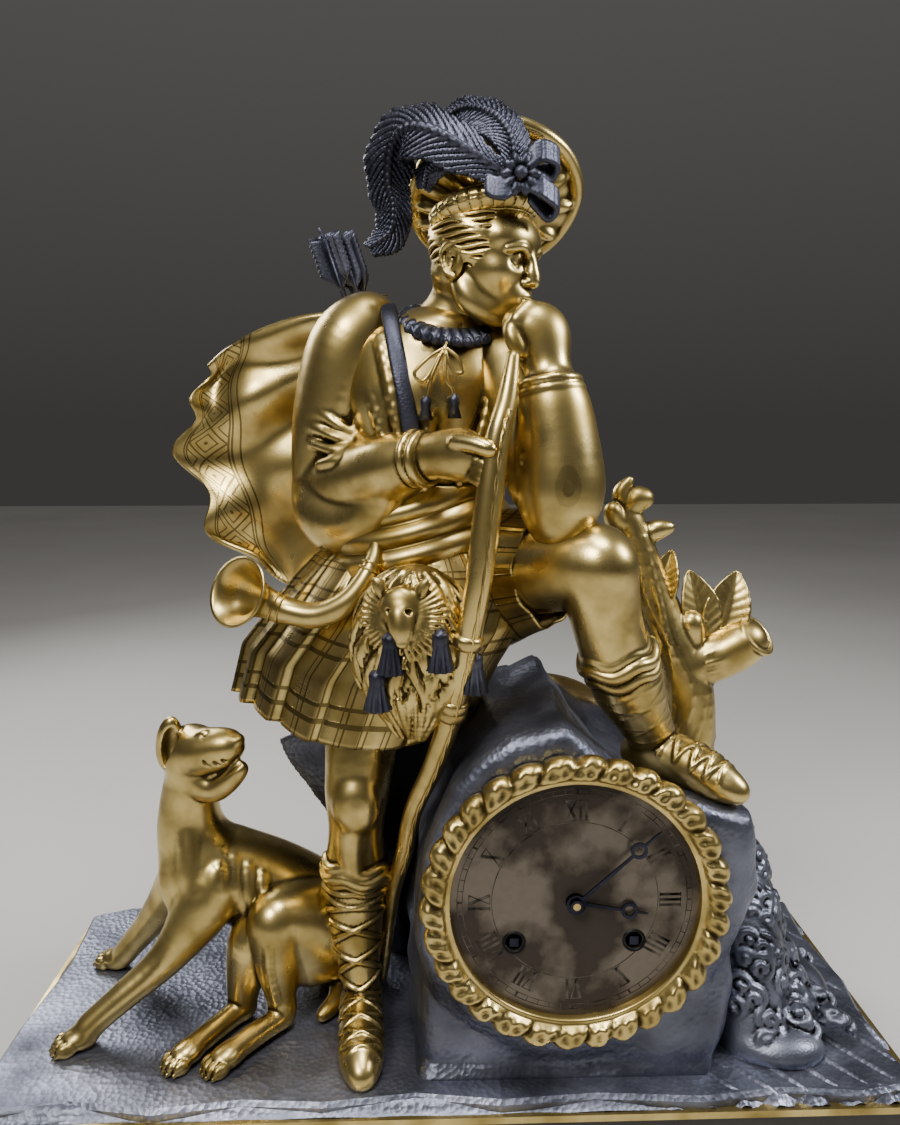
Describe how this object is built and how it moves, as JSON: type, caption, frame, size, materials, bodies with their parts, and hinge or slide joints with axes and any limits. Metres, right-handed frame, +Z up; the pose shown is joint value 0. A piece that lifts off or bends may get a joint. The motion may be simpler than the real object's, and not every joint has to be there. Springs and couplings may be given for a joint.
{
  "type": "figural mantel clock",
  "caption": "Gilt and patinated bronze mantel clock: a huntsman in bonnet and kilt leans on a rock that holds the dial, a hound at his feet",
  "frame": {"origin": "on the surface that the feet stand on, under the middle of the base", "axes": "+X to the viewer's right along the base, +Y to the back, +Z up; the dial faces -Y"},
  "size_m": [0.394, 0.158, 0.4491],
  "materials": {
    "gilt_bronze": "satin, cast and chased",
    "patinated_bronze": "dark patina, hammered",
    "movement_brass": "brushed",
    "blued_steel": "blued, polished",
    "bell_metal": "turned",
    "silvered_dial": "tarnished silvering",
    "ebonised_wood": "polished black"
  },
  "bodies": {
    "case_and_figures": {"plinth_edge_plate": "gilt_bronze", "kilt": "gilt_bronze", "waist_sash": "gilt_bronze", "figure_torso": "gilt_bronze", "head": "gilt_bronze", "bonnet": "gilt_bronze", "left_arm": "gilt_bronze", "right_arm": "gilt_bronze", "standing_leg": "gilt_bronze", "raised_leg": "gilt_bronze", "cape": "gilt_bronze", "hunting_horn": "gilt_bronze", "quiver": "gilt_bronze", "sporran": "gilt_bronze", "hound": "gilt_bronze", "tree_stump": "gilt_bronze", "bezel": "gilt_bronze", "bow_staff": "gilt_bronze", "ground_plate": "patinated_bronze", "rock_case": "patinated_bronze", "water_cascade": "patinated_bronze", "bonnet_plumes": "patinated_bronze", "bonnet_cockade": "patinated_bronze", "collar_ruff": "patinated_bronze", "shoulder_strap": "patinated_bronze", "arrows": "patinated_bronze", "sporran_tassels": "patinated_bronze", "bow_string": "patinated_bronze", "front_plate": "movement_brass", "back_plate": "movement_brass", "plate_pillars": "movement_brass", "suspension_cock": "movement_brass", "bell_stand": "movement_brass", "rear_ring": "movement_brass", "movement_straps": "movement_brass", "base_bolts": "blued_steel", "bell": "bell_metal", "dial": "silvered_dial", "plinth": "ebonised_wood", "bun_feet": "ebonised_wood"},
    "minute_hand_and_centre": {"centre_wheel": "movement_brass", "cannon_pinion": "movement_brass", "minute_hand": "blued_steel", "hand_collet": "blued_steel"},
    "hour_hand_and_wheel": {"hour_wheel": "movement_brass", "hour_hand": "blued_steel"},
    "minute_wheel": {"minute_wheel": "movement_brass"},
    "going_barrel": {"going_barrel": "movement_brass"},
    "third_wheel": {"third_wheel": "movement_brass"},
    "escape_wheel": {"escape_wheel": "movement_brass"},
    "strike_second_wheel": {"strike_second_wheel": "movement_brass"},
    "strike_barrel": {"strike_barrel": "movement_brass"},
    "strike_pin_wheel": {"strike_pin_wheel": "movement_brass"},
    "strike_fly": {"strike_fly": "movement_brass"},
    "going_winding_arbor": {"going_winding_arbor": "blued_steel"},
    "strike_winding_arbor": {"strike_winding_arbor": "blued_steel"},
    "anchor": {"anchor": "blued_steel"},
    "pendulum": {"pendulum": "movement_brass"},
    "strike_hammer": {"strike_hammer": "blued_steel"},
    "back_door": {"back_door": "movement_brass"}
  },
  "joints": [
    {"name": "minute_hand_turn", "type": "hinge", "parent": "case_and_figures", "child": "minute_hand_and_centre", "pos_m": [0.049, -0.066, 0.1255], "axis": [0, 1, 0], "continuous": true},
    {"name": "hour_hand_turn", "type": "hinge", "parent": "case_and_figures", "child": "hour_hand_and_wheel", "pos_m": [0.049, -0.066, 0.1255], "axis": [0, 1, 0], "continuous": true},
    {"name": "minute_wheel_turn", "type": "hinge", "parent": "case_and_figures", "child": "minute_wheel", "pos_m": [0.049, -0.058, 0.1135], "axis": [0, 1, 0], "continuous": true},
    {"name": "going_barrel_turn", "type": "hinge", "parent": "case_and_figures", "child": "going_barrel", "pos_m": [0.07335, -0.0555, 0.108], "axis": [0, 1, 0], "continuous": true},
    {"name": "third_wheel_turn", "type": "hinge", "parent": "case_and_figures", "child": "third_wheel", "pos_m": [0.05944, -0.0555, 0.14041], "axis": [0, 1, 0], "continuous": true},
    {"name": "escape_wheel_turn", "type": "hinge", "parent": "case_and_figures", "child": "escape_wheel", "pos_m": [0.049, -0.0555, 0.15357], "axis": [0, 1, 0], "continuous": true},
    {"name": "strike_second_turn", "type": "hinge", "parent": "case_and_figures", "child": "strike_second_wheel", "pos_m": [0.02986, -0.0555, 0.13753], "axis": [0, 1, 0], "continuous": true},
    {"name": "strike_barrel_turn", "type": "hinge", "parent": "case_and_figures", "child": "strike_barrel", "pos_m": [0.02465, -0.0555, 0.108], "axis": [0, 1, 0], "continuous": true},
    {"name": "strike_pin_turn", "type": "hinge", "parent": "case_and_figures", "child": "strike_pin_wheel", "pos_m": [0.03846, -0.0555, 0.15243], "axis": [0, 1, 0], "continuous": true},
    {"name": "strike_fly_turn", "type": "hinge", "parent": "case_and_figures", "child": "strike_fly", "pos_m": [0.03238, -0.0555, 0.15967], "axis": [0, 1, 0], "continuous": true},
    {"name": "going_winding", "type": "hinge", "parent": "case_and_figures", "child": "going_winding_arbor", "pos_m": [0.07335, -0.066, 0.108], "axis": [0, 1, 0], "range_deg": [0, 1620]},
    {"name": "strike_winding", "type": "hinge", "parent": "case_and_figures", "child": "strike_winding_arbor", "pos_m": [0.02465, -0.066, 0.108], "axis": [0, 1, 0], "range_deg": [0, 1620]},
    {"name": "pendulum_swing", "type": "hinge", "parent": "case_and_figures", "child": "pendulum", "pos_m": [0.049, -0.018, 0.16557], "axis": [0, 1, 0], "range_deg": [-4, 4]},
    {"name": "anchor_rock", "type": "hinge", "parent": "case_and_figures", "child": "anchor", "pos_m": [0.049, -0.0255, 0.16557], "axis": [0, 1, 0], "range_deg": [-4, 4]},
    {"name": "hammer_lift", "type": "hinge", "parent": "case_and_figures", "child": "strike_hammer", "pos_m": [0.01186, -0.0255, 0.13753], "axis": [0, 1, 0], "range_deg": [0, 15], "stiffness_Nm_per_rad": 0.005},
    {"name": "back_door_hinge", "type": "hinge", "parent": "case_and_figures", "child": "back_door", "pos_m": [-0.0106, 0.0656, 0.1255], "axis": [0, 0, 1], "range_deg": [0, 110]}
  ],
  "couplings": [
    {"joint": "hour_hand_turn", "follows": "minute_hand_turn", "ratio": 0.083333},
    {"joint": "minute_wheel_turn", "follows": "minute_hand_turn", "ratio": -0.33333},
    {"joint": "going_barrel_turn", "follows": "minute_hand_turn", "ratio": -0.16667},
    {"joint": "third_wheel_turn", "follows": "minute_hand_turn", "ratio": -12},
    {"joint": "escape_wheel_turn", "follows": "minute_hand_turn", "ratio": 132},
    {"joint": "strike_barrel_turn", "follows": "strike_second_turn", "ratio": -0.16667},
    {"joint": "strike_pin_turn", "follows": "strike_second_turn", "ratio": -9.75},
    {"joint": "strike_fly_turn", "follows": "strike_second_turn", "ratio": 78},
    {"joint": "anchor_rock", "follows": "pendulum_swing", "ratio": 1}
  ]
}
